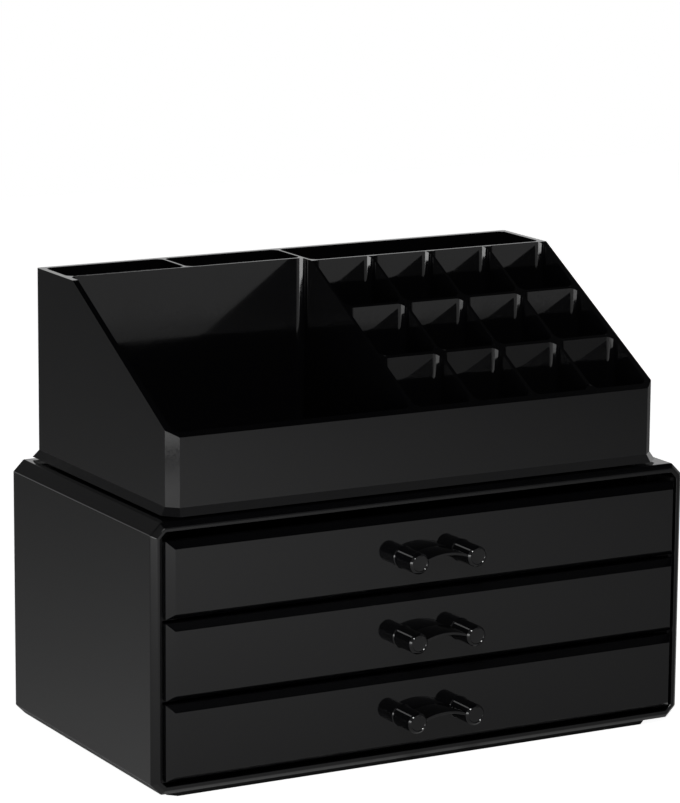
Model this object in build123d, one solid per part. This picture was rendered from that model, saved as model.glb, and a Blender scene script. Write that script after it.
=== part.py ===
from build123d import *
import math
import os

# Vanity chest with three drawers and a lift-off brush and make-up tray.
# Millimetres. +Z is up, the drawers face -Y, and the origin is under the middle of the whole
# object, handles included, on the surface that it stands on.

os.makedirs("parts", exist_ok=True)

# ---- driving dimensions: chest casing ----
casing_width = 240.0
casing_depth = 128.0
casing_height = 107.0
casing_wall = 3.5
edge_chamfer = 4.5
rim_bevel = 2.0
plinth_height = 3.0
plinth_front_inset = 6.2
plinth_side_inset = 10.4
plinth_corner_chamfer = 3.4
plinth_bar = 9.0
recess_depth = 1.0
recess_clearance = 0.4

# ---- driving dimensions: back panel ----
back_plug_thickness = 1.6
back_flange_thickness = 1.6
back_flange_width = 1.5
back_plug_clearance = 0.2

# ---- driving dimensions: runner racks ----
rack_plate = 1.6
ledge_width = 6.0
ledge_thickness = 2.0
stop_length = 3.0
stop_height = 2.2
stop_setback = 8.0

# ---- driving dimensions: drawers ----
drawer_count = 3
front_side_gap = 1.7
front_gap = 1.65
front_gap_below = 2.2
front_gap_above = 3.4
front_proud = 4.1
front_thickness = 5.6
front_bevel_width = 2.5
front_bevel_depth = 3.3
closing_clearance = 0.3
bin_lift = 1.0
bin_drop = 2.0
bin_wall = 1.8
bin_floor = 2.0
bin_side_clearance = 0.5
bin_rear_clearance = 1.5
bin_draft = 1.0
bin_corner = 1.8
bin_edge_chamfer = 1.0
screw_pad_radius = 4.5
screw_pad_rise = 0.8
lug_height = 1.6
lug_clearance = 0.5
drawer_travel = 92.0

# ---- driving dimensions: handles and their screws ----
peg_radius = 4.2
peg_length = 13.0
peg_spacing = 26.0
peg_end_chamfer = 0.8
peg_base_flare = 0.4
peg_dish_radius = 2.9
peg_dish_depth = 0.25
handle_drop = 1.4
web_thickness = 1.2
web_spring_height = -0.6
web_rise = 3.6
web_front_setback = 0.9
screw_radius = 1.4
screw_bite = 7.0
screw_head_radius = 2.8
screw_head_height = 1.9
screw_slot = 0.9
screw_slot_depth = 0.8
screw_hole_clearance = 0.05
screw_tip_clearance = 0.8

# ---- driving dimensions: tray ----
tray_width = 219.4
tray_front_inset = 5.7
tray_back_inset = 2.1
tray_height = 77.75
tray_gap = 0.85
tray_corner_chamfer = 4.2
tray_back_bevel = 0.8
tray_wall = 3.0
tray_inner_wall = 2.2
tray_floor = 2.4
tray_draft = 0.45
flare_out = 2.0
flare_height = 3.1
flat_top_depth = 34.2
lip_height = 30.35
pocket_corner = 2.0
brush_bay_depth = 22.5
main_divider_offset = -2.0
grid_columns = 4
grid_rows = 3
tray_plinth_inset = 5.0
cutter_margin = 10.0

# ---- derived places ----
casing_bottom = plinth_height
casing_top = plinth_height + casing_height
overall_depth = casing_depth + front_proud + peg_length
back_y = overall_depth / 2
rim_y = back_y - casing_depth
mouth_width = casing_width - 2 * casing_wall
mouth_height = casing_height - 2 * casing_wall
mouth_bottom = casing_bottom + casing_wall
mouth_top = casing_top - casing_wall
mouth_chamfer = edge_chamfer - casing_wall * (2 - math.sqrt(2))
back_inner_y = back_y - back_flange_thickness - back_plug_thickness
front_width = mouth_width - 2 * front_side_gap
front_height = (
    mouth_height - front_gap_above - front_gap_below - (drawer_count - 1) * front_gap
) / drawer_count
drawer_pitch = front_height + front_gap
face_y = rim_y - front_proud
front_back_y = face_y + front_thickness
rack_front_y = front_back_y + closing_clearance
bin_width = mouth_width - 2 * (rack_plate + bin_side_clearance)
bin_height = front_height - bin_lift - bin_drop
bin_back_y = back_inner_y - bin_rear_clearance
stop_front_y = rack_front_y + stop_setback
stop_back_y = stop_front_y + stop_length
lug_front_y = stop_back_y + drawer_travel + closing_clearance
tray_bottom = casing_top + tray_gap
tray_top = tray_bottom + tray_height
tray_front_y = rim_y + tray_front_inset
tray_back_y = back_y - tray_back_inset
slope_start_y = tray_back_y - flat_top_depth
lip_top = tray_bottom + lip_height
tray_floor_z = tray_bottom + tray_floor
drawer_names = ("bottom", "middle", "top")


def front_bottom(level):
    """Lower edge of the drawer front at this level, counted from the bottom."""
    return mouth_bottom + front_gap_below + level * drawer_pitch


def bin_bottom(level):
    """Underside of the drawer bin, which is also the top of its ledges."""
    return front_bottom(level) + bin_lift


def handle_z(level):
    """Height of the two handle pegs of one drawer."""
    return front_bottom(level) + front_height / 2 - handle_drop


def rod(radius, length):
    """Cylinder that stands on its own origin and rises along Z."""
    return Cylinder(radius, length, align=(Align.CENTER, Align.CENTER, Align.MIN))


def box_between(low, high):
    """Box from its lowest corner to its highest corner."""
    size = [h - l for l, h in zip(low, high)]
    middle = [(l + h) / 2 for l, h in zip(low, high)]
    return Pos(*middle) * Box(*size)


def chamfered_section(width, height, corner):
    """Rectangle with its four corners cut at 45 degrees."""
    return chamfer(Rectangle(width, height).vertices(), corner)


def along_y(section, y_from, y_to, z_middle):
    """Push an XZ section from one Y to another."""
    plane = Plane(origin=(0, y_to, z_middle), x_dir=(1, 0, 0), z_dir=(0, -1, 0))
    return extrude(plane * section, y_to - y_from)


def ruled_stack(lower, upper):
    """Straight-sided solid between two horizontal sections."""
    return loft([lower, upper], ruled=True)


def ring_frame(x_half, y_front, y_back, corner, bar, z_from, z_to):
    """Flat rectangular frame with chamfered corners, used for both plinths."""
    plan_centre = Pos(0, (y_front + y_back) / 2, z_from)
    outer = chamfered_section(2 * x_half, y_back - y_front, corner)
    inner = chamfered_section(2 * (x_half - bar), y_back - y_front - 2 * bar, corner)
    return extrude(plan_centre * (outer - inner), z_to - z_from)


# ---- chest casing ----
def make_casing():
    """Sleeve with chamfered long edges, a bevelled front rim and a recess that seats the tray."""
    middle = casing_bottom + casing_height / 2
    outer = chamfered_section(casing_width, casing_height, edge_chamfer)
    sleeve = along_y(outer, rim_y, back_y, middle)
    rim_edges = sleeve.faces().sort_by(Axis.Y)[0].edges()
    sleeve = chamfer(rim_edges, rim_bevel)
    mouth = chamfered_section(mouth_width, mouth_height, mouth_chamfer)
    sleeve -= along_y(mouth, rim_y, back_y, middle)
    rabbet = chamfered_section(
        mouth_width + 2 * back_flange_width, mouth_height + 2 * back_flange_width, mouth_chamfer
    )
    sleeve -= along_y(rabbet, back_y - back_flange_thickness, back_y, middle)
    recess = chamfered_section(
        2 * (tray_plinth_x_half() + recess_clearance),
        tray_plinth_back() - tray_plinth_front() + 2 * recess_clearance,
        plinth_corner_chamfer,
    )
    recess_centre = Pos(0, (tray_plinth_front() + tray_plinth_back()) / 2, casing_top - recess_depth)
    return sleeve - extrude(recess_centre * recess, recess_depth)


def make_back_panel():
    """Closing panel: a flange in the rear rabbet and a plug that squares the sleeve."""
    middle = casing_bottom + casing_height / 2
    flange = chamfered_section(
        mouth_width + 2 * back_flange_width, mouth_height + 2 * back_flange_width, mouth_chamfer
    )
    plug = chamfered_section(
        mouth_width - 2 * back_plug_clearance, mouth_height - 2 * back_plug_clearance, mouth_chamfer
    )
    flange_y = back_y - back_flange_thickness
    return along_y(flange, flange_y, back_y, middle) + along_y(plug, back_inner_y, flange_y, middle)


def make_base_plinth():
    """Low inset frame that the whole chest stands on."""
    return ring_frame(
        casing_width / 2 - plinth_side_inset,
        rim_y + plinth_front_inset,
        back_y - plinth_front_inset,
        plinth_corner_chamfer,
        plinth_bar,
        0,
        plinth_height,
    )


def make_runner_rack(side):
    """Side rack with a ledge and a pull-out stop for each drawer; side is -1 or +1."""
    wall_x = mouth_width / 2
    rack = box_between(
        (wall_x - rack_plate, rack_front_y, mouth_bottom + mouth_chamfer),
        (wall_x, back_inner_y, mouth_top - mouth_chamfer),
    )
    outer_x = wall_x - rack_plate
    inner_x = outer_x - ledge_width
    for level in range(drawer_count):
        shelf = bin_bottom(level)
        ledge_low = (inner_x, rack_front_y, shelf - ledge_thickness)
        rack += box_between(ledge_low, (outer_x, back_inner_y, shelf))
        stop_z = shelf + bin_height + lug_clearance
        stop_low = (inner_x, stop_front_y, stop_z)
        rack += box_between(stop_low, (outer_x, stop_back_y, stop_z + stop_height))
    return rack if side > 0 else mirror(rack, about=Plane.YZ)


# ---- drawers ----
def make_drawer_bin(level):
    """Open-topped bin with drafted walls, two screw pads and two rear lugs that meet the stops."""
    low = bin_bottom(level)
    high = low + bin_height
    lean = bin_height * math.tan(math.radians(bin_draft))
    y_middle = (front_back_y + bin_back_y) / 2
    length = bin_back_y - front_back_y
    foot = Pos(0, y_middle - lean / 2, low) * Rectangle(bin_width - 2 * lean, length - lean)
    mouth = Pos(0, y_middle, high) * Rectangle(bin_width, length)
    shell = ruled_stack(foot, mouth)
    shell = chamfer(shell.faces().sort_by(Axis.Z)[0].edges(), bin_edge_chamfer)
    cavity = chamfered_section(bin_width - 2 * bin_wall, length - 2 * bin_wall, bin_corner)
    depth = bin_height - bin_floor
    shell -= extrude(Pos(0, y_middle, high) * cavity, -depth, taper=bin_draft)
    for x in (-peg_spacing / 2, peg_spacing / 2):
        pad = rod(screw_pad_radius, bin_wall + screw_pad_rise)
        shell += Pos(x, front_back_y, handle_z(level)) * Rot(-90, 0, 0) * pad
        shell -= screw_hole(x, level)
    lug_x = bin_width / 2 - ledge_width + bin_side_clearance
    for side in (-1, 1):
        x_low, x_high = sorted((side * lug_x, side * (bin_width / 2)))
        lug_top = (x_high, lug_front_y + stop_length, high + lug_height)
        shell += box_between((x_low, lug_front_y, high), lug_top)
    return shell


def screw_hole(x, level):
    """Cutter for the shank of a handle screw, from inside the bin into the peg."""
    y_from = front_back_y + bin_wall + screw_pad_rise
    y_to = face_y - screw_bite - screw_tip_clearance
    hole = rod(screw_radius + screw_hole_clearance, y_from - y_to)
    return Pos(x, y_from, handle_z(level)) * Rot(90, 0, 0) * hole


def make_drawer_front(level):
    """Raised panel with a wide bevel on all four sides of its face."""
    middle = front_bottom(level) + front_height / 2
    bevel_y = face_y + front_bevel_depth
    slab = along_y(Rectangle(front_width, front_height), bevel_y, front_back_y, middle)
    taper = math.degrees(math.atan2(front_bevel_width, front_bevel_depth))
    plane = Plane(origin=(0, bevel_y, middle), x_dir=(1, 0, 0), z_dir=(0, -1, 0))
    panel = slab + extrude(plane * Rectangle(front_width, front_height), front_bevel_depth, taper=taper)
    for x in (-peg_spacing / 2, peg_spacing / 2):
        panel -= screw_hole(x, level)
    return panel


def make_handle(level):
    """Two round pegs joined by a thin arched web, moulded in one."""
    height = handle_z(level)
    half = peg_spacing / 2
    plane = Plane(origin=(0, face_y, height), x_dir=(1, 0, 0), z_dir=(0, -1, 0))
    arc = ThreePointArc(
        (-half, web_spring_height), (0, web_spring_height + web_rise), (half, web_spring_height)
    )
    lower = Pos(0, -web_thickness) * arc
    sides = [Line(arc @ 0, lower @ 0), Line(arc @ 1, lower @ 1)]
    section = make_face([arc, lower] + sides)
    handle = extrude(plane * section, peg_length - web_front_setback)
    for x in (-half, half):
        peg = chamfer(rod(peg_radius, peg_length).edges().sort_by(Axis.Z)[-1:], peg_end_chamfer)
        flare = Cone(peg_radius + peg_base_flare, peg_radius, peg_base_flare)
        peg += Pos(0, 0, peg_base_flare / 2) * flare
        peg -= Pos(0, 0, peg_length - peg_dish_depth) * rod(peg_dish_radius, peg_dish_depth)
        handle += Pos(x, face_y, height) * Rot(90, 0, 0) * peg
    for x in (-half, half):
        handle -= screw_hole(x, level)
    return handle


def make_handle_screws(level):
    """The two pan-head screws that clamp bin, front and handle together."""
    shank_length = bin_wall + screw_pad_rise + front_thickness + screw_bite
    screws = []
    for x in (-peg_spacing / 2, peg_spacing / 2):
        shank = Pos(0, 0, -shank_length) * rod(screw_radius, shank_length)
        head = rod(screw_head_radius, screw_head_height)
        slot = Box(2 * screw_head_radius, screw_slot, 2 * screw_slot_depth)
        screw = shank + head - Pos(0, 0, screw_head_height) * slot
        seat = front_back_y + bin_wall + screw_pad_rise
        screws.append(Pos(x, seat, handle_z(level)) * Rot(-90, 0, 0) * screw)
    return Compound(children=screws)


# ---- tray ----
def tray_plinth_x_half():
    """Half width of the frame under the tray."""
    return tray_width / 2 - tray_plinth_inset


def tray_plinth_front():
    """Front edge of the frame under the tray."""
    return tray_front_y + tray_plinth_inset


def tray_plinth_back():
    """Rear edge of the frame under the tray."""
    return tray_back_y - tray_plinth_inset


def make_tray_plinth():
    """Frame under the tray that drops into the recess of the chest top."""
    return ring_frame(
        tray_plinth_x_half(),
        tray_plinth_front(),
        tray_plinth_back(),
        plinth_corner_chamfer,
        plinth_bar,
        casing_top - recess_depth,
        tray_bottom,
    )


def tray_plan(grow, z):
    """Plan of the tray, with its two front corners cut, grown outwards by a margin."""
    half = tray_width / 2 + grow
    front = tray_front_y - grow
    back = tray_back_y + grow
    cut = tray_corner_chamfer + grow * (2 - math.sqrt(2))
    points = [
        (-half + cut, front),
        (half - cut, front),
        (half, front + cut),
        (half, back - tray_back_bevel),
        (half - tray_back_bevel, back),
        (-half + tray_back_bevel, back),
        (-half, back - tray_back_bevel),
        (-half, front + cut),
    ]
    return Pos(0, 0, z) * make_face(Polyline(*points, close=True))


def pocket_section(x_low, x_high, y_low, y_high, grow, z):
    """Chamfered pocket outline at one height, grown on every side by a margin."""
    width = x_high - x_low + 2 * grow
    depth = y_high - y_low + 2 * grow
    place = Pos((x_low + x_high) / 2, (y_low + y_high) / 2, z)
    return place * chamfered_section(width, depth, pocket_corner)


def pocket_cells():
    """Plan limits of every pocket at the tray floor: x low, x high, y low, y high."""
    half_wall = tray_inner_wall / 2
    left = -tray_width / 2 + tray_wall
    right = tray_width / 2 - tray_wall
    front = tray_front_y + tray_wall
    back = tray_back_y - tray_wall
    divider = main_divider_offset
    brush_wall_y = back - brush_bay_depth
    brush_divider = (left + divider - half_wall) / 2
    cells = [
        (left, brush_divider - half_wall, brush_wall_y + half_wall, back),
        (brush_divider + half_wall, divider - half_wall, brush_wall_y + half_wall, back),
        (left, divider - half_wall, front, brush_wall_y - half_wall),
        (divider + half_wall, right, slope_start_y + tray_inner_wall, back),
    ]
    column_pitch = (right - divider + half_wall) / grid_columns
    row_pitch = (slope_start_y + tray_inner_wall - front) / grid_rows
    for row in range(grid_rows):
        for column in range(grid_columns):
            x_low = divider + half_wall + column * column_pitch
            x_high = x_low + column_pitch - tray_inner_wall
            y_low = front + row * row_pitch
            y_high = y_low + row_pitch - tray_inner_wall
            cells.append((x_low, x_high, y_low, y_high))
    return cells


def make_tray():
    """One moulding: flared foot, sloping sides and tapered pockets with cut corners."""
    foot_top = tray_bottom + flare_height
    body = extrude(tray_plan(0, tray_bottom), tray_height)
    body += ruled_stack(tray_plan(flare_out, tray_bottom), tray_plan(0, foot_top))
    fall = (tray_top - lip_top) / (slope_start_y - tray_front_y)
    front_cut_y = tray_front_y - cutter_margin
    wedge = Polyline(
        (slope_start_y, tray_top),
        (front_cut_y, lip_top - fall * cutter_margin),
        (front_cut_y, tray_top + cutter_margin),
        (slope_start_y, tray_top + cutter_margin),
        close=True,
    )
    wedge_plane = Plane(origin=(-tray_width, 0, 0), x_dir=(0, 1, 0), z_dir=(1, 0, 0))
    body -= extrude(wedge_plane * make_face(wedge), 2 * tray_width)
    widen = (tray_top - tray_floor_z) * math.tan(math.radians(tray_draft))
    for cell in pocket_cells():
        floor_section = pocket_section(*cell, 0, tray_floor_z)
        mouth_section = pocket_section(*cell, widen, tray_top)
        body -= ruled_stack(floor_section, mouth_section)
    return body


def write(name, shape):
    """Save one sub-part and say what it holds."""
    shape.label = name
    export_step(shape, os.path.join("parts", name + ".step"))
    print(f"{name}: {len(shape.solids())} solid(s), {shape.volume / 1000:.2f} cm3")


write("chest_casing", make_casing())
write("back_panel", make_back_panel())
write("base_plinth", make_base_plinth())
write("runner_rack_left", make_runner_rack(-1))
write("runner_rack_right", make_runner_rack(1))
for number, drawer in enumerate(drawer_names[:drawer_count]):
    write(f"drawer_bin_{drawer}", make_drawer_bin(number))
    write(f"drawer_front_{drawer}", make_drawer_front(number))
    write(f"drawer_handle_{drawer}", make_handle(number))
    write(f"handle_screws_{drawer}", make_handle_screws(number))
write("tray_body", make_tray())
write("tray_plinth", make_tray_plinth())
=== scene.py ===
"""Looks of a black vanity chest with three drawers and a lift-off brush and make-up tray.

Lengths in the fields are millimetres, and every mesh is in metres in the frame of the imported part.
"""

import logging
import math
from dataclasses import dataclass, field
from enum import Enum
from typing import Any

import bmesh
import bpy
from mathutils import Matrix, Vector


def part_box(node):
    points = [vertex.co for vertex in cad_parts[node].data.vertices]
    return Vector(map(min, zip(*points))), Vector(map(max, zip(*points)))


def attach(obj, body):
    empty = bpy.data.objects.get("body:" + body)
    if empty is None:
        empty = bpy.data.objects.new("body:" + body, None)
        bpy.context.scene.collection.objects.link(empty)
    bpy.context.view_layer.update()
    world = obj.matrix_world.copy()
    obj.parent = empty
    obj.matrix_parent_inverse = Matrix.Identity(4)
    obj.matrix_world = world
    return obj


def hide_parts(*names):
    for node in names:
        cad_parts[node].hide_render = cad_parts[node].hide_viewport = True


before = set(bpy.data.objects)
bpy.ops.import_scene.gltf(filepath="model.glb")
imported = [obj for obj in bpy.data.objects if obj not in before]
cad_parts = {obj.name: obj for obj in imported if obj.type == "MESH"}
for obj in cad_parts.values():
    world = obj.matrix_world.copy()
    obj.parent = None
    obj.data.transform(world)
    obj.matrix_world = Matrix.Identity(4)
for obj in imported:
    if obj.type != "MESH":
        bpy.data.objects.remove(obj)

LOG = logging.getLogger("vanity_chest")
MM = 0.001

# Corners nearer than the first are one corner, and facets flatter than the second are one face.
MERGE_DISTANCE = 0.002 * MM
FLAT_ANGLE = math.radians(0.6)
# A mould rounds every edge sharper than the first, and shading keeps those past the second crisp.
MOULDED_EDGE_ANGLE = math.radians(20.0)
SMOOTH_ANGLE = math.radians(32.0)
# An edge stands upright when the Z part of its direction is more than this.
UPRIGHT = 0.99
# Least and greatest turn across an edge of a pocket's cut corner.
CUT_CORNER = (math.radians(40.0), math.radians(50.0))

# Points along curves in the geometry trees.
PEG_FACETS = 64
SCREW_FACETS = 40
CORNER_POINTS = 4
WEB_POINTS = 28
WEB_EDGE_POINTS = 3
# A turned profile follows a circle too small to shift it, and its seam is closed over this gap.
AXIS_RADIUS = 0.001 * MM
SEAM_GAP = 0.01 * MM
QUARTER_TURN = math.pi / 2

# The Mix node's sockets by number, because its kinds of value share their names.
NUMBER_A, NUMBER_B = 2, 3
COLOUR_A, COLOUR_B, COLOUR_RESULT = 6, 7, 2


# ---------------------------------------------------------------- small helpers


def add_node(
    tree: bpy.types.NodeTree,
    kind: str,
    settings: dict[str, Any] | None = None,
    inputs: dict[str | int, Any] | None = None,
) -> bpy.types.Node:
    """Add a node with its settings, input values and links.

    Args:
        tree: The material, world or geometry tree that gets the node.
        kind: Blender's name of the node type.
        settings: Attributes of the node itself.
        inputs: Socket name or number to a value, or to the output socket that feeds it.

    Returns:
        The new node.
    """
    node = tree.nodes.new(kind)
    for attribute, value in (settings or {}).items():
        setattr(node, attribute, value)
    feed(tree, node, inputs or {})
    return node


def feed(tree: bpy.types.NodeTree, node: bpy.types.Node, inputs: dict[str | int, Any]) -> None:
    """Set a node's inputs.

    Args:
        tree: The tree that the node is in.
        node: The node.
        inputs: Socket name or number to a value, or to the output socket that feeds it.
    """
    for socket, value in inputs.items():
        if isinstance(value, bpy.types.NodeSocket):
            tree.links.new(value, node.inputs[socket])
        else:
            node.inputs[socket].default_value = value


def linear(code: str) -> tuple[float, float, float, float]:
    """Turn an sRGB hex colour into Blender's linear RGBA.

    Args:
        code: Six hex digits after a hash.

    Returns:
        Linear red, green, blue and an alpha of one.
    """
    channels = [int(code[place : place + 2], 16) / 255 for place in (1, 3, 5)]
    curve = [c / 12.92 if c <= 0.04045 else ((c + 0.055) / 1.055) ** 2.4 for c in channels]
    return (curve[0], curve[1], curve[2], 1.0)


def per_metre(size_mm: float) -> float:
    """Scale of a texture whose features are this many millimetres across."""
    return 1.0 / (size_mm * MM)


@dataclass(frozen=True)
class Extent:
    """Box of a CAD node at rest, in metres."""

    low: Vector
    high: Vector

    @classmethod
    def of(cls, node: str) -> "Extent":
        """Read the box of one node from the frame."""
        return cls(*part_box(node))

    @property
    def size(self) -> Vector:
        """Edge lengths of the box."""
        return self.high - self.low

    @property
    def centre(self) -> Vector:
        """Middle of the box."""
        return (self.low + self.high) / 2


# ---------------------------------------------------------------- finishes


def new_surface(name: str) -> tuple[bpy.types.Material, bpy.types.NodeTree, bpy.types.Node]:
    """Start a material with one Principled shader wired to its output.

    Args:
        name: The material's name.

    Returns:
        The material, its tree and the shader.
    """
    material = bpy.data.materials.new(name)
    material.use_nodes = True
    tree = material.node_tree
    tree.nodes.clear()
    output = add_node(tree, "ShaderNodeOutputMaterial")
    shader = add_node(tree, "ShaderNodeBsdfPrincipled")
    tree.links.new(shader.outputs["BSDF"], output.inputs["Surface"])
    return material, tree, shader


@dataclass(frozen=True)
class PolishedPolystyrene:
    """Black crystal polystyrene from a mirror-polished mould.

    The eye sees a deep black skin with sharp reflections that swim a little over flat walls,
    because the walls sink slightly as they cool, and faint handling marks in the gloss.
    """

    name: str = "polished black polystyrene"
    colour: str = "#060607"
    ior: float = 1.59
    specular_level: float = 0.30
    roughness_clean: float = 0.035
    roughness_handled: float = 0.11
    handling_mm: float = 34.0
    scratch_mm: float = 1.1
    marks_faint: float = 0.16
    marks_heavy: float = 0.42
    sink_mm: float = 46.0
    sink_depth_mm: float = 0.016

    def build(self) -> bpy.types.Material:
        """Make the material.

        Returns:
            The node material.
        """
        material, tree, shader = new_surface(self.name)
        place = add_node(tree, "ShaderNodeTexCoord")
        handling = add_node(
            tree,
            "ShaderNodeTexNoise",
            inputs={
                "Vector": place.outputs["Object"],
                "Scale": per_metre(self.handling_mm),
                "Detail": 4.0,
                "Roughness": 0.55,
            },
        )
        scratches = add_node(
            tree,
            "ShaderNodeTexNoise",
            inputs={
                "Vector": place.outputs["Object"],
                "Scale": per_metre(self.scratch_mm),
                "Detail": 2.0,
                "Distortion": 1.4,
            },
        )
        marks = add_node(
            tree,
            "ShaderNodeMath",
            {"operation": "MULTIPLY"},
            {0: handling.outputs["Fac"], 1: scratches.outputs["Fac"]},
        )
        gloss = add_node(
            tree,
            "ShaderNodeMapRange",
            inputs={
                "Value": marks.outputs[0],
                "From Min": self.marks_faint,
                "From Max": self.marks_heavy,
                "To Min": self.roughness_clean,
                "To Max": self.roughness_handled,
            },
        )
        sink = add_node(
            tree,
            "ShaderNodeTexNoise",
            inputs={
                "Vector": place.outputs["Object"],
                "Scale": per_metre(self.sink_mm),
                "Detail": 1.0,
            },
        )
        bump = add_node(
            tree,
            "ShaderNodeBump",
            inputs={"Height": sink.outputs["Fac"], "Distance": self.sink_depth_mm * MM},
        )
        feed(
            tree,
            shader,
            {
                "Base Color": linear(self.colour),
                "IOR": self.ior,
                "Specular IOR Level": self.specular_level,
                "Roughness": gloss.outputs["Result"],
                "Normal": bump.outputs["Normal"],
            },
        )
        return material


@dataclass(frozen=True)
class GrainedPolystyrene:
    """Black impact polystyrene from a spark-eroded mould, for pieces that only carry others.

    The eye sees a soft satin black with a fine even grain, which breaks reflections up.
    """

    name: str = "spark-grained black polystyrene"
    colour: str = "#0c0c0d"
    ior: float = 1.59
    specular_level: float = 0.15
    roughness_low: float = 0.30
    roughness_high: float = 0.46
    # Such grain is nearer 0.1 mm: it is drawn coarser, so that it shows.
    grain_mm: float = 0.45
    grain_depth_mm: float = 0.012
    cloud_mm: float = 25.0
    cloud_thin: float = 0.3
    cloud_thick: float = 0.7

    def build(self) -> bpy.types.Material:
        """Make the material.

        Returns:
            The node material.
        """
        material, tree, shader = new_surface(self.name)
        place = add_node(tree, "ShaderNodeTexCoord")
        cloud = add_node(
            tree,
            "ShaderNodeTexNoise",
            inputs={"Vector": place.outputs["Object"], "Scale": per_metre(self.cloud_mm), "Detail": 3.0},
        )
        grain = add_node(
            tree,
            "ShaderNodeTexVoronoi",
            {"feature": "SMOOTH_F1"},
            {"Vector": place.outputs["Object"], "Scale": per_metre(self.grain_mm)},
        )
        gloss = add_node(
            tree,
            "ShaderNodeMapRange",
            inputs={
                "Value": cloud.outputs["Fac"],
                "From Min": self.cloud_thin,
                "From Max": self.cloud_thick,
                "To Min": self.roughness_low,
                "To Max": self.roughness_high,
            },
        )
        bump = add_node(
            tree,
            "ShaderNodeBump",
            inputs={"Height": grain.outputs["Distance"], "Distance": self.grain_depth_mm * MM},
        )
        feed(
            tree,
            shader,
            {
                "Base Color": linear(self.colour),
                "IOR": self.ior,
                "Specular IOR Level": self.specular_level,
                "Roughness": gloss.outputs["Result"],
                "Normal": bump.outputs["Normal"],
            },
        )
        return material


@dataclass(frozen=True)
class ZincPlatedSteel:
    """Bright zinc plating on cold-headed steel screws.

    The eye sees a pale bluish metal with a slightly cloudy sheen and fine turning marks.
    """

    name: str = "zinc-plated steel"
    pale: str = "#c9ced2"
    dull: str = "#a4aab0"
    roughness_low: float = 0.22
    roughness_high: float = 0.40
    spangle_mm: float = 1.3
    # Turning marks are nearer 0.05 mm: they are drawn coarser, so that they show.
    turning_mm: float = 0.25
    turning_depth_mm: float = 0.006

    def build(self) -> bpy.types.Material:
        """Make the material.

        Returns:
            The node material.
        """
        material, tree, shader = new_surface(self.name)
        place = add_node(tree, "ShaderNodeTexCoord")
        spangle = add_node(
            tree,
            "ShaderNodeTexNoise",
            inputs={"Vector": place.outputs["Object"], "Scale": per_metre(self.spangle_mm), "Detail": 3.0},
        )
        tint = add_node(
            tree,
            "ShaderNodeMix",
            {"data_type": "RGBA"},
            {
                "Factor": spangle.outputs["Fac"],
                COLOUR_A: linear(self.pale),
                COLOUR_B: linear(self.dull),
            },
        )
        gloss = add_node(
            tree,
            "ShaderNodeMapRange",
            inputs={
                "Value": spangle.outputs["Fac"],
                "To Min": self.roughness_low,
                "To Max": self.roughness_high,
            },
        )
        turning = add_node(
            tree,
            "ShaderNodeTexNoise",
            inputs={"Vector": place.outputs["Object"], "Scale": per_metre(self.turning_mm), "Detail": 1.0},
        )
        bump = add_node(
            tree,
            "ShaderNodeBump",
            inputs={"Height": turning.outputs["Fac"], "Distance": self.turning_depth_mm * MM},
        )
        feed(
            tree,
            shader,
            {
                "Base Color": tint.outputs[COLOUR_RESULT],
                "Metallic": 1.0,
                "Roughness": gloss.outputs["Result"],
                "Normal": bump.outputs["Normal"],
            },
        )
        return material


class Finish(Enum):
    """The finishes that the object's pieces take."""

    POLISHED = PolishedPolystyrene()
    GRAINED = GrainedPolystyrene()
    ZINC = ZincPlatedSteel()


class Palette:
    """Builds each finish once and hands it out."""

    def __init__(self) -> None:
        """Start with no material built."""
        self._built: dict[Finish, bpy.types.Material] = {}

    def material(self, finish: Finish) -> bpy.types.Material:
        """Give the material of a finish.

        Args:
            finish: The finish wanted.

        Returns:
            Its material, built at the first call.
        """
        if finish not in self._built:
            self._built[finish] = finish.value.build()
        return self._built[finish]


# ---------------------------------------------------------------- mesh workshop


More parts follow.
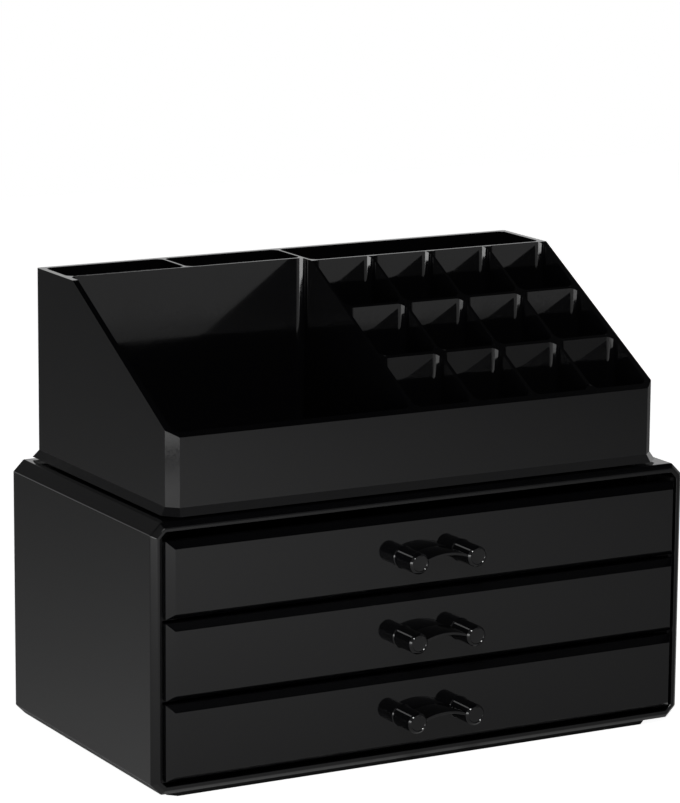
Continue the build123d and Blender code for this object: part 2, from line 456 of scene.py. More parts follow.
@dataclass
class Workshop:
    """Turns meshes and node trees into finished pieces that ride on the frame."""

    palette: Palette = field(default_factory=Palette)

    def copy_of_node(self, node: str) -> bpy.types.Mesh:
        """Copy a CAD node's mesh with its doubles merged and its flat faces whole.

        Args:
            node: The CAD node.

        Returns:
            A new mesh without loose triangles.
        """
        work = bmesh.new()
        work.from_mesh(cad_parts[node].data)
        bmesh.ops.remove_doubles(work, verts=work.verts, dist=MERGE_DISTANCE)
        bmesh.ops.dissolve_limit(work, angle_limit=FLAT_ANGLE, verts=work.verts, edges=work.edges)
        mesh = bpy.data.meshes.new(node)
        work.to_mesh(mesh)
        work.free()
        return mesh

    def link(self, name: str, mesh: bpy.types.Mesh) -> bpy.types.Object:
        """Put a mesh in the scene as an object at the origin.

        Args:
            name: The piece's name.
            mesh: Its mesh.

        Returns:
            The object.
        """
        piece = bpy.data.objects.new(name, mesh)
        bpy.context.scene.collection.objects.link(piece)
        return piece

    def soften(self, piece: bpy.types.Object, radius_mm: float, segments: int = 2) -> None:
        """Round the edges of a piece, as the mould does.

        Args:
            piece: The piece.
            radius_mm: Radius of the rounding.
            segments: Facets across each rounding.
        """
        bevel = piece.modifiers.new("mould radius", "BEVEL")
        bevel.width = radius_mm * MM
        bevel.segments = segments
        bevel.limit_method = "ANGLE"
        bevel.angle_limit = MOULDED_EDGE_ANGLE
        bevel.use_clamp_overlap = True
        weighted = piece.modifiers.new("flat faces", "WEIGHTED_NORMAL")
        weighted.mode = "FACE_AREA"
        weighted.weight = 100
        self.bake(piece)

    def grow(
        self, piece: bpy.types.Object, tree: bpy.types.NodeTree, values: dict[str, Any]
    ) -> None:
        """Run a geometry tree on a piece with named inputs, and keep the result as its mesh.

        Args:
            piece: The piece whose mesh goes into the tree.
            tree: The geometry tree.
            values: Value for each named input.
        """
        modifier = piece.modifiers.new("grown", "NODES")
        modifier.node_group = tree
        for item in tree.interface.items_tree:
            if item.item_type == "SOCKET" and item.in_out == "INPUT" and item.name in values:
                modifier[item.identifier] = values[item.name]
        self.bake(piece)

    def bake(self, piece: bpy.types.Object) -> None:
        """Replace a piece's mesh by the result of its modifiers, and remove them.

        Args:
            piece: The piece.
        """
        graph = bpy.context.evaluated_depsgraph_get()
        mesh = bpy.data.meshes.new_from_object(piece.evaluated_get(graph), depsgraph=graph)
        piece.modifiers.clear()
        old = piece.data
        piece.data = mesh
        bpy.data.meshes.remove(old)

    def smooth(self, piece: bpy.types.Object) -> None:
        """Shade a piece smooth, with its real corners sharp."""
        piece.data.shade_smooth()
        piece.data.set_sharp_from_angle(angle=SMOOTH_ANGLE)

    def finish(
        self, piece: bpy.types.Object, finish: Finish, slot: str, body: str, *nodes: str
    ) -> bpy.types.Object:
        """Dress a piece, set it riding and let it stand for its CAD nodes.

        Args:
            piece: The piece, at the origin.
            finish: What it is made of.
            slot: The record's material slot, which is not used.
            body: The CAD body that carries it.
            *nodes: The CAD nodes it stands for.

        Returns:
            The piece.
        """
        piece.data.materials.clear()
        piece.data.materials.append(self.palette.material(finish))
        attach(piece, body)
        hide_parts(*nodes)
        LOG.info("%s: %d faces, rides on %s", piece.name, len(piece.data.polygons), body)
        return piece

    def moulded(
        self, node: str, name: str, finish: Finish, slot: str, body: str, radius_mm: float
    ) -> bpy.types.Object:
        """Make a moulded piece from a CAD node: the same shape with the mould's soft edges.

        Args:
            node: The CAD node.
            name: The piece's name.
            finish: What it is made of.
            slot: The record's material slot.
            body: The CAD body that carries it.
            radius_mm: Radius on its edges.

        Returns:
            The finished piece.
        """
        piece = self.link(name, self.copy_of_node(node))
        piece.data.shade_smooth()
        self.soften(piece, radius_mm)
        return self.finish(piece, finish, slot, body, node)


# ---------------------------------------------------------------- geometry trees


def new_tree(name: str, inputs: dict[str, tuple[str, Any]]) -> tuple[bpy.types.NodeTree, bpy.types.Node]:
    """Start a geometry tree with a mesh input and named size inputs.

    Args:
        name: The tree's name.
        inputs: Name of each input to its socket type and default value.

    Returns:
        The tree and its group input node.
    """
    tree = bpy.data.node_groups.new(name, "GeometryNodeTree")
    tree.interface.new_socket("Geometry", in_out="INPUT", socket_type="NodeSocketGeometry")
    for label, (kind, default) in inputs.items():
        socket = tree.interface.new_socket(label, in_out="INPUT", socket_type=kind)
        if default is not None:
            socket.default_value = default
    tree.interface.new_socket("Geometry", in_out="OUTPUT", socket_type="NodeSocketGeometry")
    return tree, add_node(tree, "NodeGroupInput")


def turned_row_tree() -> bpy.types.NodeTree:
    """Tree that turns a half profile about Z and sets copies in a row along X.

    The profile's X is the radius and its -Y is the height along the axis. Each of its points
    carries the radius of its own corner.

    Returns:
        The geometry tree.
    """
    tree, given = new_tree(
        "turned row",
        {
            "Count": ("NodeSocketInt", 2),
            "Spacing": ("NodeSocketFloat", 0.026),
            "Facets": ("NodeSocketInt", PEG_FACETS),
        },
    )
    corner = add_node(tree, "GeometryNodeInputNamedAttribute", {"data_type": "FLOAT"}, {"Name": "corner"})
    outline = add_node(tree, "GeometryNodeMeshToCurve", inputs={"Mesh": given.outputs["Geometry"]})
    rounded = add_node(
        tree,
        "GeometryNodeFilletCurve",
        {"mode": "POLY"},
        {
            "Curve": outline.outputs["Curve"],
            "Radius": corner.outputs["Attribute"],
            "Count": CORNER_POINTS,
            "Limit Radius": True,
        },
    )
    path = add_node(
        tree,
        "GeometryNodeCurvePrimitiveCircle",
        {"mode": "RADIUS"},
        {"Resolution": given.outputs["Facets"], "Radius": AXIS_RADIUS},
    )
    turned = add_node(
        tree,
        "GeometryNodeCurveToMesh",
        inputs={"Curve": path.outputs["Curve"], "Profile Curve": rounded.outputs["Curve"]},
    )
    closed = add_node(
        tree,
        "GeometryNodeMergeByDistance",
        inputs={"Geometry": turned.outputs["Mesh"], "Distance": SEAM_GAP},
    )
    gaps = add_node(tree, "ShaderNodeMath", {"operation": "SUBTRACT"}, {0: given.outputs["Count"], 1: 1.0})
    half = add_node(tree, "ShaderNodeMath", {"operation": "MULTIPLY"}, {0: gaps.outputs[0], 1: -0.5})
    first = add_node(
        tree, "ShaderNodeMath", {"operation": "MULTIPLY"}, {0: half.outputs[0], 1: given.outputs["Spacing"]}
    )
    start = add_node(tree, "ShaderNodeCombineXYZ", inputs={"X": first.outputs[0]})
    step = add_node(tree, "ShaderNodeCombineXYZ", inputs={"X": given.outputs["Spacing"]})
    row = add_node(
        tree,
        "GeometryNodeMeshLine",
        {"mode": "OFFSET"},
        {
            "Count": given.outputs["Count"],
            "Start Location": start.outputs["Vector"],
            "Offset": step.outputs["Vector"],
        },
    )
    copies = add_node(
        tree,
        "GeometryNodeInstanceOnPoints",
        inputs={"Points": row.outputs["Mesh"], "Instance": closed.outputs["Geometry"]},
    )
    solid = add_node(tree, "GeometryNodeRealizeInstances", inputs={"Geometry": copies.outputs["Instances"]})
    add_node(tree, "NodeGroupOutput", inputs={"Geometry": solid.outputs["Geometry"]})
    return tree


def handle_tree(turned_row: bpy.types.NodeTree) -> bpy.types.NodeTree:
    """Tree of one handle: two turned pegs and the thin arched web that joins them.

    Args:
        turned_row: The tree that makes the pegs.

    Returns:
        The geometry tree.
    """
    tree, given = new_tree(
        "pegs with arched web",
        {
            "Spacing": ("NodeSocketFloat", 0.026),
            "Web Depth": ("NodeSocketFloat", 0.012),
            "Web Thickness": ("NodeSocketFloat", 0.0012),
            "Web Spring": ("NodeSocketFloat", -0.0012),
            "Web Crown": ("NodeSocketFloat", 0.0024),
            "Web Edge": ("NodeSocketFloat", 0.0003),
            "Place": ("NodeSocketVector", None),
            "Finish": ("NodeSocketMaterial", None),
        },
    )
    pegs = add_node(
        tree,
        "GeometryNodeGroup",
        {"node_tree": turned_row},
        {"Geometry": given.outputs["Geometry"], "Spacing": given.outputs["Spacing"]},
    )
    half = add_node(tree, "ShaderNodeMath", {"operation": "MULTIPLY"}, {0: given.outputs["Spacing"], 1: 0.5})
    minus = add_node(tree, "ShaderNodeMath", {"operation": "MULTIPLY"}, {0: half.outputs[0], 1: -1.0})
    left = add_node(
        tree, "ShaderNodeCombineXYZ", inputs={"X": minus.outputs[0], "Y": given.outputs["Web Spring"]}
    )
    crown = add_node(tree, "ShaderNodeCombineXYZ", inputs={"Y": given.outputs["Web Crown"]})
    right = add_node(
        tree, "ShaderNodeCombineXYZ", inputs={"X": half.outputs[0], "Y": given.outputs["Web Spring"]}
    )
    arch = add_node(
        tree,
        "GeometryNodeCurveArc",
        {"mode": "POINTS"},
        {
            "Resolution": WEB_POINTS,
            "Start": left.outputs["Vector"],
            "Middle": crown.outputs["Vector"],
            "End": right.outputs["Vector"],
        },
    )
    strip = add_node(
        tree,
        "GeometryNodeCurvePrimitiveQuadrilateral",
        {"mode": "RECTANGLE"},
        {"Width": given.outputs["Web Thickness"], "Height": given.outputs["Web Depth"]},
    )
    strip_round = add_node(
        tree,
        "GeometryNodeFilletCurve",
        {"mode": "POLY"},
        {
            "Curve": strip.outputs["Curve"],
            "Radius": given.outputs["Web Edge"],
            "Count": WEB_EDGE_POINTS,
        },
    )
    reach = add_node(
        tree, "ShaderNodeMath", {"operation": "MULTIPLY"}, {0: given.outputs["Web Depth"], 1: -0.5}
    )
    forward = add_node(tree, "ShaderNodeCombineXYZ", inputs={"Y": reach.outputs[0]})
    strip_out = add_node(
        tree,
        "GeometryNodeTransform",
        inputs={"Geometry": strip_round.outputs["Curve"], "Translation": forward.outputs["Vector"]},
    )
    web = add_node(
        tree,
        "GeometryNodeCurveToMesh",
        inputs={
            "Curve": arch.outputs["Curve"],
            "Profile Curve": strip_out.outputs["Geometry"],
            "Fill Caps": True,
        },
    )
    moulding = add_node(tree, "GeometryNodeMeshBoolean", {"operation": "UNION", "solver": "EXACT"})
    tree.links.new(pegs.outputs["Geometry"], moulding.inputs["Mesh 2"])
    tree.links.new(web.outputs["Mesh"], moulding.inputs["Mesh 2"])
    upright = add_node(
        tree,
        "GeometryNodeTransform",
        inputs={
            "Geometry": moulding.outputs["Mesh"],
            "Translation": given.outputs["Place"],
            "Rotation": (QUARTER_TURN, 0.0, 0.0),
        },
    )
    dressed = add_node(
        tree,
        "GeometryNodeSetMaterial",
        inputs={"Geometry": upright.outputs["Geometry"], "Material": given.outputs["Finish"]},
    )
    add_node(tree, "NodeGroupOutput", inputs={"Geometry": dressed.outputs["Geometry"]})
    return tree


def screw_tree(turned_row: bpy.types.NodeTree) -> bpy.types.NodeTree:
    """Tree of the two slotted screws of one drawer.

    Args:
        turned_row: The tree that turns their shanks and heads.

    Returns:
        The geometry tree.
    """
    tree, given = new_tree(
        "slotted screws",
        {
            "Spacing": ("NodeSocketFloat", 0.026),
            "Slot Size": ("NodeSocketVector", None),
            "Slot Height": ("NodeSocketFloat", 0.018),
            "Place": ("NodeSocketVector", None),
            "Finish": ("NodeSocketMaterial", None),
        },
    )
    blanks = add_node(
        tree,
        "GeometryNodeGroup",
        {"node_tree": turned_row},
        {
            "Geometry": given.outputs["Geometry"],
            "Spacing": given.outputs["Spacing"],
            "Facets": SCREW_FACETS,
        },
    )
    cutter = add_node(tree, "GeometryNodeMeshCube", inputs={"Size": given.outputs["Slot Size"]})
    half = add_node(
        tree, "ShaderNodeMath", {"operation": "MULTIPLY"}, {0: given.outputs["Spacing"], 1: -0.5}
    )
    start = add_node(
        tree,
        "ShaderNodeCombineXYZ",
        inputs={"X": half.outputs[0], "Z": given.outputs["Slot Height"]},
    )
    step = add_node(tree, "ShaderNodeCombineXYZ", inputs={"X": given.outputs["Spacing"]})
    row = add_node(
        tree,
        "GeometryNodeMeshLine",
        {"mode": "OFFSET"},
        {"Count": 2, "Start Location": start.outputs["Vector"], "Offset": step.outputs["Vector"]},
    )
    cutters = add_node(
        tree,
        "GeometryNodeInstanceOnPoints",
        inputs={"Points": row.outputs["Mesh"], "Instance": cutter.outputs["Mesh"]},
    )
    slots = add_node(tree, "GeometryNodeRealizeInstances", inputs={"Geometry": cutters.outputs["Instances"]})
    slotted = add_node(
        tree,
        "GeometryNodeMeshBoolean",
        {"operation": "DIFFERENCE", "solver": "EXACT"},
        {"Mesh 1": blanks.outputs["Geometry"]},
    )
    tree.links.new(slots.outputs["Geometry"], slotted.inputs["Mesh 2"])
    turned = add_node(
        tree,
        "GeometryNodeTransform",
        inputs={
            "Geometry": slotted.outputs["Mesh"],
            "Translation": given.outputs["Place"],
            "Rotation": (-QUARTER_TURN, 0.0, 0.0),
        },
    )
    dressed = add_node(
        tree,
        "GeometryNodeSetMaterial",
        inputs={"Geometry": turned.outputs["Geometry"], "Material": given.outputs["Finish"]},
    )
    add_node(tree, "NodeGroupOutput", inputs={"Geometry": dressed.outputs["Geometry"]})
    return tree


def rack_tree() -> bpy.types.NodeTree:
    """Tree that repeats a ledge and a pull-out stop up a side plate, once for each drawer.

    Returns:
        The geometry tree.
    """
    tree, given = new_tree(
        "runner rack",
        {
            "Levels": ("NodeSocketInt", 3),
            "Pitch": ("NodeSocketFloat", 0.033),
            "Ledge Size": ("NodeSocketVector", None),
            "First Ledge": ("NodeSocketVector", None),
            "Stop Size": ("NodeSocketVector", None),
            "First Stop": ("NodeSocketVector", None),
            "Finish": ("NodeSocketMaterial", None),
        },
    )
    step = add_node(tree, "ShaderNodeCombineXYZ", inputs={"Z": given.outputs["Pitch"]})
    joined = add_node(tree, "GeometryNodeMeshBoolean", {"operation": "UNION", "solver": "EXACT"})
    tree.links.new(given.outputs["Geometry"], joined.inputs["Mesh 2"])
    for size, first in (("Ledge Size", "First Ledge"), ("Stop Size", "First Stop")):
        bar = add_node(tree, "GeometryNodeMeshCube", inputs={"Size": given.outputs[size]})
        column = add_node(
            tree,
            "GeometryNodeMeshLine",
            {"mode": "OFFSET"},
            {
                "Count": given.outputs["Levels"],
                "Start Location": given.outputs[first],
                "Offset": step.outputs["Vector"],
            },
        )
        copies = add_node(
            tree,
            "GeometryNodeInstanceOnPoints",
            inputs={"Points": column.outputs["Mesh"], "Instance": bar.outputs["Mesh"]},
        )
        bars = add_node(
            tree, "GeometryNodeRealizeInstances", inputs={"Geometry": copies.outputs["Instances"]}
        )
        tree.links.new(bars.outputs["Geometry"], joined.inputs["Mesh 2"])
    dressed = add_node(
        tree,
        "GeometryNodeSetMaterial",
        inputs={"Geometry": joined.outputs["Mesh"], "Material": given.outputs["Finish"]},
    )
    add_node(tree, "NodeGroupOutput", inputs={"Geometry": dressed.outputs["Geometry"]})
    return tree


def profile_mesh(name: str, points: list[tuple[float, float, float]]) -> bpy.types.Mesh:
    """Make the half profile of a turned piece.

    Args:
        name: The mesh's name.
        points: Height, radius and corner radius of each point, in millimetres.

    Returns:
        A chain of edges whose points carry their corner radius.
    """
    mesh = bpy.data.meshes.new(name)
    edges = [(place, place + 1) for place in range(len(points) - 1)]
    mesh.from_pydata([(radius * MM, -height * MM, 0.0) for height, radius, _ in points], edges, [])
    corner = mesh.attributes.new("corner", "FLOAT", "POINT")
    corner.data.foreach_set("value", [rounding * MM for _, _, rounding in points])
    return mesh


def block_mesh(name: str, low: Vector, high: Vector) -> bpy.types.Mesh:
    """Make a closed box between two corners.

    Args:
        name: The mesh's name.
        low: Its lowest corner, in metres.
        high: Its highest corner, in metres.

    Returns:
        The mesh.
    """
    work = bmesh.new()
    bmesh.ops.create_cube(work, size=1.0)
    for vert in work.verts:
        vert.co = Vector([low[k] + (vert.co[k] + 0.5) * (high[k] - low[k]) for k in range(3)])
    mesh = bpy.data.meshes.new(name)
    work.to_mesh(mesh)
    work.free()
    return mesh


# ---------------------------------------------------------------- sub-assemblies


@dataclass
class Chest:
    """The sleeve-like casing with its back panel, plinth and two runner racks."""

    workshop: Workshop
    casing_radius: float = 0.35
    panel_radius: float = 0.25
    plinth_radius: float = 0.4
    rack_radius: float = 0.25
    rack_plate: float = 1.6
    ledge_thickness: float = 2.0
    stop_length: float = 3.0
    stop_height: float = 2.2
    stop_setback: float = 8.0
    lug_height: float = 1.6
    lug_clearance: float = 0.5
    levels: int = 3

    def build(self) -> None:
        """Make every piece of the chest."""
        self.workshop.moulded(
            "chest_casing", "casing_sleeve", Finish.POLISHED, "casing", "chest", self.casing_radius
        )
        self.workshop.moulded(
            "back_panel", "rear_closing_panel", Finish.GRAINED, "casing", "chest", self.panel_radius
        )
        self.workshop.moulded(
            "base_plinth", "standing_plinth", Finish.GRAINED, "plinth", "chest", self.plinth_radius
        )
        tree = rack_tree()
        for side, node in ((-1, "runner_rack_left"), (1, "runner_rack_right")):
            self.build_rack(tree, side, node)

    def build_rack(self, tree: bpy.types.NodeTree, side: int, node: str) -> bpy.types.Object:
        """Make one side rack.

        Args:
            tree: The rack tree.
            side: -1 for the left rack and 1 for the right one.
            node: The CAD node it stands for.

        Returns:
            The finished rack.
        """
        extent = Extent.of(node)
        bins = [Extent.of(f"drawer_bin_{level}") for level in ("bottom", "middle")]
        pitch = bins[1].low.z - bins[0].low.z
        plate = self.rack_plate * MM
        low, high = extent.low.copy(), extent.high.copy()
        if side < 0:
            high.x = low.x + plate
            ledge_x = (high.x + extent.high.x) / 2
        else:
            low.x = high.x - plate
            ledge_x = (extent.low.x + low.x) / 2
        ledge_width = extent.size.x - plate
        ledge_z = bins[0].low.z - self.ledge_thickness * MM / 2
        stop_y = extent.low.y + (self.stop_setback + self.stop_length / 2) * MM
        stop_z = bins[0].high.z + (self.lug_clearance - self.lug_height + self.stop_height / 2) * MM
        piece = self.workshop.link(f"{node}_moulding", block_mesh(node, low, high))
        self.workshop.grow(
            piece,
            tree,
            {
                "Levels": self.levels,
                "Pitch": pitch,
                "Ledge Size": (ledge_width, extent.size.y, self.ledge_thickness * MM),
                "First Ledge": (ledge_x, extent.centre.y, ledge_z),
                "Stop Size": (ledge_width, self.stop_length * MM, self.stop_height * MM),
                "First Stop": (ledge_x, stop_y, stop_z),
            },
        )
        piece.data.shade_smooth()
        self.workshop.soften(piece, self.rack_radius)
        return self.workshop.finish(piece, Finish.GRAINED, "runner", "chest", node)


@dataclass
class Handle:
    """Two pegs and their web, turned and swept by a geometry tree."""

    end_chamfer: float = 0.8
    base_flare: float = 0.4
    dish_radius: float = 2.9
    dish_depth: float = 0.25
    web_thickness: float = 1.2
    web_spring: float = -1.2
    web_crown: float = 2.4
    web_setback: float = 0.9
    web_edge: float = 0.3

    def peg_profile(self, radius: float, length: float) -> list[tuple[float, float, float]]:
        """Give the half profile of a peg.

        Args:
            radius: Radius at the flared base in millimetres.
            length: Its length in millimetres.

        Returns:
            Height, radius and corner radius of each point.
        """
        floor = length - self.dish_depth
        barrel = radius - self.base_flare
        return [
            (0.0, 0.0, 0.0),
            (0.0, radius, 0.0),
            (self.base_flare, barrel, 0.6),
            (length - self.end_chamfer, barrel, 0.4),
            (length, barrel - self.end_chamfer, 0.25),
            (length, self.dish_radius + self.dish_depth, 0.08),
            (floor, self.dish_radius, 0.08),
            (floor, 0.0, 0.0),
        ]


@dataclass
class Screw:
    """Slotted pan-head screw that holds the handle from inside the bin."""

    shank_radius: float = 1.4
    point_length: float = 1.6
    point_radius: float = 0.5
    head_height: float = 1.9
    head_dome: float = 1.3
    slot_width: float = 0.9
    slot_depth: float = 0.8
    slot_reach: float = 3.0

    def profile(self, head_radius: float, length: float) -> list[tuple[float, float, float]]:
        """Give the half profile from the point to the top of the head.

        Args:
            head_radius: The head's radius in millimetres.
            length: Overall length in millimetres.

        Returns:
            Height, radius and corner radius of each point.
        """
        seat = length - self.head_height
        return [
            (0.0, 0.0, 0.0),
            (0.0, self.point_radius, 0.1),
            (self.point_length, self.shank_radius, 0.3),
            (seat, self.shank_radius, 0.05),
            (seat, head_radius, 0.15),
            (length, head_radius, self.head_dome),
            (length, 0.0, 0.0),
        ]


@dataclass
class Drawer:
    """One drawer: its bin, bevelled front, handle and the two screws that clamp them."""

    workshop: Workshop
    level: str
    handle_maker: bpy.types.NodeTree
    screw_maker: bpy.types.NodeTree
    handle: Handle = field(default_factory=Handle)
    screw: Screw = field(default_factory=Screw)
    front_radius: float = 0.3
    bin_radius: float = 0.25

    @property
    def body(self) -> str:
        """Name of the CAD body that slides."""
        return f"drawer_{self.level}"

    def build(self) -> None:
        """Make every piece of the drawer."""
        self.workshop.moulded(
            f"drawer_front_{self.level}",
            f"front_panel_{self.level}",
            Finish.POLISHED,
            "front",
            self.body,
            self.front_radius,
        )
        self.workshop.moulded(
            f"drawer_bin_{self.level}",
            f"bin_moulding_{self.level}",
            Finish.GRAINED,
            "bin",
            self.body,
            self.bin_radius,
        )
        self.build_handle()
        self.build_screws()

    def build_handle(self) -> bpy.types.Object:
        """Grow the handle in the box of its CAD node.

        Returns:
            The finished handle.
        """
        node = f"drawer_handle_{self.level}"
        extent = Extent.of(node)
        radius = extent.size.z / 2
        spacing = extent.size.x - 2 * radius
        profile = self.handle.peg_profile(radius / MM, extent.size.y / MM)
        piece = self.workshop.link(f"handle_moulding_{self.level}", profile_mesh(node, profile))
        self.workshop.grow(
            piece,
            self.handle_maker,
            {
                "Spacing": spacing,
                "Web Depth": extent.size.y - self.handle.web_setback * MM,
                "Web Thickness": self.handle.web_thickness * MM,
                "Web Spring": self.handle.web_spring * MM,
                "Web Crown": self.handle.web_crown * MM,
                "Web Edge": self.handle.web_edge * MM,
                "Place": (extent.centre.x, extent.high.y, extent.centre.z),
                "Finish": self.workshop.palette.material(Finish.POLISHED),
            },
        )
        self.workshop.smooth(piece)
        return self.workshop.finish(piece, Finish.POLISHED, "handle", self.body, node)

    def build_screws(self) -> bpy.types.Object:
        """Grow the two screws where their CAD node has them.

        Returns:
            The finished pair.
        """
        node = f"handle_screws_{self.level}"
        extent = Extent.of(node)
        head_radius = extent.size.z / 2
        spacing = extent.size.x - 2 * head_radius
        length = extent.size.y
        slot_depth = self.screw.slot_depth * MM
        profile = self.screw.profile(head_radius / MM, length / MM)
        piece = self.workshop.link(f"screw_pair_{self.level}", profile_mesh(node, profile))
        self.workshop.grow(
            piece,
            self.screw_maker,
            {
                "Spacing": spacing,
                "Slot Size": (
                    self.screw.slot_reach * head_radius,
                    self.screw.slot_width * MM,
                    2 * slot_depth,
                ),
                "Slot Height": length,
                "Place": (extent.centre.x, extent.low.y, extent.centre.z),
                "Finish": self.workshop.palette.material(Finish.ZINC),
            },
        )
        self.workshop.smooth(piece)
        return self.workshop.finish(piece, Finish.ZINC, "screw", self.body, node)


@dataclass
class Tray:
    """The lift-off tray with its tall brush bays and sloping grid of pockets."""

    workshop: Workshop
    body_radius: float = 0.25
    plinth_radius: float = 0.2
    corner_rounding: float = 1.3
    corner_segments: int = 5

    def build(self) -> None:
        """Make the tray and the plinth under it."""
        mesh = self.workshop.copy_of_node("tray_body")
        self.round_pockets(mesh)
        piece = self.workshop.link("tray_moulding", mesh)
        piece.data.shade_smooth()
        self.workshop.soften(piece, self.body_radius)
        self.workshop.finish(piece, Finish.POLISHED, "tray", "tray", "tray_body")
        self.workshop.moulded(
            "tray_plinth", "tray_seat_frame", Finish.GRAINED, "plinth", "tray", self.plinth_radius
        )

    def round_pockets(self, mesh: bpy.types.Mesh) -> None:
        """Turn the cut upright corners inside the pockets into round ones.

        Args:
            mesh: The tray's mesh, which is changed.
        """
        work = bmesh.new()
        work.from_mesh(mesh)
        corners = [
            edge
            for edge in work.edges
            if edge.is_manifold
            and not edge.is_convex
            and abs((edge.verts[0].co - edge.verts[1].co).normalized().z) > UPRIGHT
            and CUT_CORNER[0] < edge.calc_face_angle() < CUT_CORNER[1]
        ]
        bmesh.ops.bevel(
            work,
            geom=corners,
            offset=self.corner_rounding * MM,
            offset_type="OFFSET",
            segments=self.corner_segments,
            profile=0.5,
            affect="EDGES",
            clamp_overlap=True,
        )
        work.to_mesh(mesh)
        work.free()
        LOG.info("tray: %d upright pocket edges rounded", len(corners))


# ---------------------------------------------------------------- studio


@dataclass(frozen=True)
class Softbox:
    """A flat lamp with a wide soft face, in millimetres, degrees and watts."""

    name: str
    place: tuple[float, float, float]
    width: float
    height: float
    azimuth: float
    tilt: float
    power: float

    def build(self) -> bpy.types.Object:
        """Put the lamp in the scene.

        Returns:
            The lamp, which faces its azimuth and is tilted down from level.
        """
        lamp = bpy.data.lights.new(self.name, "AREA")
        lamp.shape = "RECTANGLE"
        lamp.size = self.width * MM
        lamp.size_y = self.height * MM
        lamp.energy = self.power
        azimuth, tilt = math.radians(self.azimuth), math.radians(self.tilt)
        facing = Vector(
            (math.cos(azimuth) * math.cos(tilt), math.sin(azimuth) * math.cos(tilt), -math.sin(tilt))
        )
        box = bpy.data.objects.new(self.name, lamp)
        turn = facing.to_track_quat("-Z", "Y").to_matrix().to_4x4()
        box.matrix_world = Matrix.Translation(Vector(self.place) * MM) @ turn
        bpy.context.scene.collection.objects.link(box)
        return box


# The first hangs over the table's front left, and the second stands at its left edge.
KEY = Softbox("key_softbox", (-287.0, -678.0, 563.0), 420.0, 150.0, 0.0, 86.0, 5.8)
SIDE = Softbox("side_softbox", (-650.0, -308.0, 139.0), 500.0, 150.0, 20.0, 0.0, 1.42)


def seen_directly(tree: bpy.types.NodeTree) -> bpy.types.NodeSocket:
    """Tell the rays that see the background itself from those that light or mirror it.

    The object is black gloss all over, so a lifted white would veil it: gloss mirrors the table and
    the room as they are lit.

    Args:
        tree: The tree that gets the nodes.

    Returns:
        One for camera rays, also through clear pieces, and zero for the rest.
    """
    ray = add_node(tree, "ShaderNodeLightPath")
    either = add_node(
        tree,
        "ShaderNodeMath",
        {"operation": "MAXIMUM"},
        {0: ray.outputs["Is Camera Ray"], 1: ray.outputs["Is Transmission Ray"]},
    )
    return either.outputs[0]


@dataclass(frozen=True)
class Table:
    """Matt white table top that keeps the object's faint shadow, with its edges in millimetres."""

    left: float = -680.0
    right: float = 1400.0
    front: float = -850.0
    back: float = 1400.0
    colour: str = "#e6e6e6"
    camera_lift: float = 0.92

    def build(self) -> bpy.types.Object:
        """Lay the table top.

        Returns:
            The table top, which is part of the stage.
        """
        near = [(self.left, self.front), (self.right, self.front)]
        far = [(self.right, self.back), (self.left, self.back)]
        mesh = bpy.data.meshes.new("studio_table")
        mesh.from_pydata([(x * MM, y * MM, 0.0) for x, y in near + far], [], [(0, 1, 2, 3)])
        mesh.materials.append(self.laminate())
        table = bpy.data.objects.new("studio_table", mesh)
        bpy.context.scene.collection.objects.link(table)
        return table

    def laminate(self) -> bpy.types.Material:
        """Make the matt white laminate, lifted to white where it is seen directly.

        Returns:
            The node material.
        """
        material = bpy.data.materials.new("matt white laminate")
        material.use_nodes = True
        tree = material.node_tree
        tree.nodes.clear()
        lift = add_node(
            tree, "ShaderNodeMath", {"operation": "MULTIPLY"}, {0: seen_directly(tree), 1: self.camera_lift}
        )
        top = add_node(tree, "ShaderNodeBsdfDiffuse", inputs={"Color": linear(self.colour)})
        glow = add_node(tree, "ShaderNodeEmission", inputs={"Strength": lift.outputs[0]})
        both = add_node(
            tree, "ShaderNodeAddShader", inputs={0: top.outputs["BSDF"], 1: glow.outputs["Emission"]}
        )
        add_node(tree, "ShaderNodeOutputMaterial", inputs={"Surface": both.outputs["Shader"]})
        return material


@dataclass(frozen=True)
class Wall:
    """Pale stretch of the room that fades along one axis and ends at a height.

    The span and the top are parts of the unit direction looked in, with X to the right, Y to the
    back and Z up. The levels hold before and past the span, and one is white.
    """

    axis: str
    span: tuple[float, float]
    levels: tuple[float, float]
    top: float

    def build(self, tree: bpy.types.NodeTree, direction: bpy.types.Node) -> bpy.types.NodeSocket:
        """Add the wall to the room's tree.

        Args:
            tree: The world's tree.
            direction: The node that splits the direction looked in.

        Returns:
            The wall's level, which is nothing above its top.
        """
        level = add_node(
            tree,
            "ShaderNodeMapRange",
            {"interpolation_type": "SMOOTHSTEP"},
            {
                "Value": direction.outputs[self.axis],
                "From Min": self.span[0],
                "From Max": self.span[1],
                "To Min": self.levels[0],
                "To Max": self.levels[1],
            },
        )
        under = add_node(
            tree, "ShaderNodeMath", {"operation": "LESS_THAN"}, {0: direction.outputs["Z"], 1: self.top}
        )
        kept = add_node(
            tree,
            "ShaderNodeMath",
            {"operation": "MULTIPLY"},
            {0: under.outputs[0], 1: level.outputs["Result"]},
        )
        return kept.outputs[0]


WINDOW_WALL = Wall("X", (-0.75, -0.60), (2.4, 0.0), 0.02)
BACK_WALL = Wall("Y", (0.15, 0.35), (0.0, 0.8), 0.26)
FLOOR = Wall("Z", (-1.0, 0.0), (0.62, 0.62), 0.0)
GENERAL = Wall("Y", (-0.5, 0.0), (0.24, 0.104), 1.01)


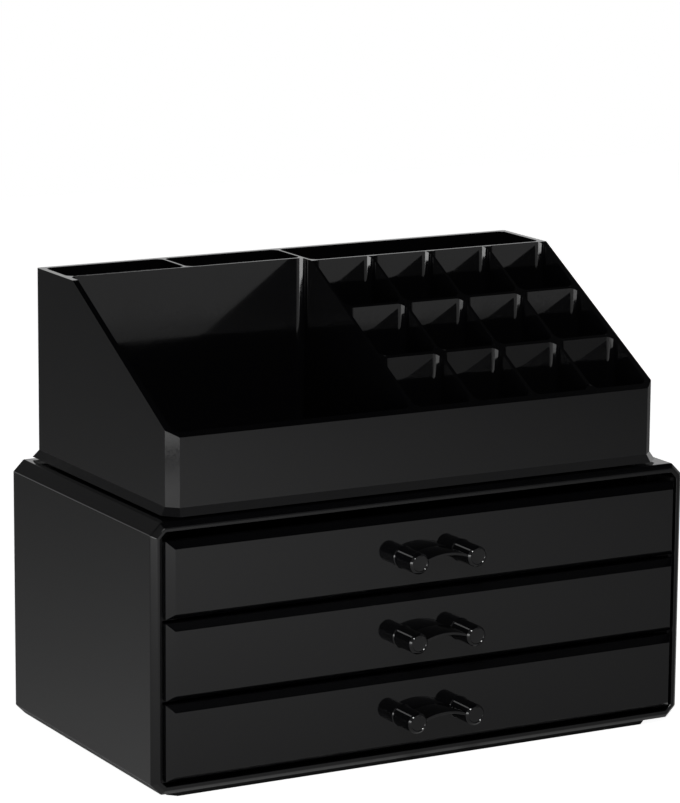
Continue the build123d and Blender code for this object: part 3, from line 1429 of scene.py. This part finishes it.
@dataclass(frozen=True)
class Room:
    """White background, with pale low walls and a dark roof in what the object mirrors."""

    general: Wall = GENERAL
    roof_start: float = 0.70
    roof_end: float = 0.84
    walls: tuple[Wall, ...] = (WINDOW_WALL, BACK_WALL, FLOOR)

    def build(self) -> bpy.types.World:
        """Make the room the scene's world.

        Returns:
            The world.
        """
        world = bpy.data.worlds.new("studio room")
        world.use_nodes = True
        tree = world.node_tree
        tree.nodes.clear()
        place = add_node(tree, "ShaderNodeTexCoord")
        direction = add_node(tree, "ShaderNodeSeparateXYZ", inputs={"Vector": place.outputs["Generated"]})
        roofed = add_node(
            tree,
            "ShaderNodeMapRange",
            {"interpolation_type": "SMOOTHSTEP"},
            {
                "Value": direction.outputs["Z"],
                "From Min": self.roof_start,
                "From Max": self.roof_end,
                "To Min": self.general.build(tree, direction),
                "To Max": 0.0,
            },
        )
        mirrored = roofed.outputs["Result"]
        for wall in self.walls:
            level = wall.build(tree, direction)
            brighter = add_node(tree, "ShaderNodeMath", {"operation": "MAXIMUM"}, {0: mirrored, 1: level})
            mirrored = brighter.outputs[0]
        strength = add_node(
            tree,
            "ShaderNodeMix",
            {"data_type": "FLOAT"},
            {0: seen_directly(tree), NUMBER_A: mirrored, NUMBER_B: 1.0},
        )
        room = add_node(
            tree,
            "ShaderNodeBackground",
            inputs={"Color": linear("#ffffff"), "Strength": strength.outputs[0]},
        )
        add_node(tree, "ShaderNodeOutputWorld", inputs={"Surface": room.outputs["Background"]})
        bpy.context.scene.world = world
        return world


@dataclass(frozen=True)
class Camera:
    """Where the photograph was taken from, in degrees and millimetres, with its lens in pixels."""

    focal_px: float = 3822.36
    frame_long_px: float = 803.0
    sensor_mm: float = 36.0
    yaw_deg: float = 28.9103
    pitch_deg: float = 11.5102
    roll_deg: float = 0.4045
    shift_right: float = 3.5137
    shift_up: float = -34.1581
    distance: float = 1551.5253
    aim_height: float = 100.0
    aim_y: float = 8.55
    nearest: float = 50.0
    farthest: float = 60000.0

    def build(self) -> bpy.types.Object:
        """Stand the camera and look through it.

        Returns:
            The camera.
        """
        yaw, pitch, roll = (math.radians(a) for a in (self.yaw_deg, self.pitch_deg, self.roll_deg))
        forward = Vector(
            (math.sin(yaw) * math.cos(pitch), math.cos(yaw) * math.cos(pitch), -math.sin(pitch))
        )
        level_right = Vector((math.cos(yaw), -math.sin(yaw), 0.0))
        level_up = level_right.cross(forward)
        right = math.cos(roll) * level_right + math.sin(roll) * level_up
        up = math.cos(roll) * level_up - math.sin(roll) * level_right
        aim = Vector((0.0, self.aim_y, self.aim_height))
        place = aim - self.shift_right * right - self.shift_up * up - self.distance * forward
        lens = bpy.data.cameras.new("studio_camera")
        lens.sensor_width = self.sensor_mm
        lens.lens = self.focal_px * self.sensor_mm / self.frame_long_px
        lens.clip_start = self.nearest * MM
        lens.clip_end = self.farthest * MM
        camera = bpy.data.objects.new("studio_camera", lens)
        turn = Matrix((right, up, -forward)).transposed()
        camera.matrix_world = Matrix.Translation(place * MM) @ turn.to_4x4()
        bpy.context.scene.collection.objects.link(camera)
        bpy.context.scene.camera = camera
        return camera


@dataclass(frozen=True)
class Studio:
    """White table in a pale room, with two softboxes and the camera."""

    table: Table = Table()
    room: Room = Room()
    lamps: tuple[Softbox, ...] = (KEY, SIDE)
    camera: Camera = Camera()

    def build(self) -> None:
        """Set the stage round the object."""
        self.table.build()
        self.room.build()
        for lamp in self.lamps:
            lamp.build()
        self.camera.build()
        bpy.context.scene.view_settings.view_transform = "Standard"


def main() -> None:
    """Build the object and its stage."""
    logging.basicConfig(level=logging.INFO, format="%(message)s")
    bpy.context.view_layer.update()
    workshop = Workshop()
    turned_row = turned_row_tree()
    handle_maker = handle_tree(turned_row)
    screw_maker = screw_tree(turned_row)
    Chest(workshop).build()
    for level in ("bottom", "middle", "top"):
        Drawer(workshop, level, handle_maker, screw_maker).build()
    Tray(workshop).build()
    Studio().build()


if __name__ == "__main__":
    main()
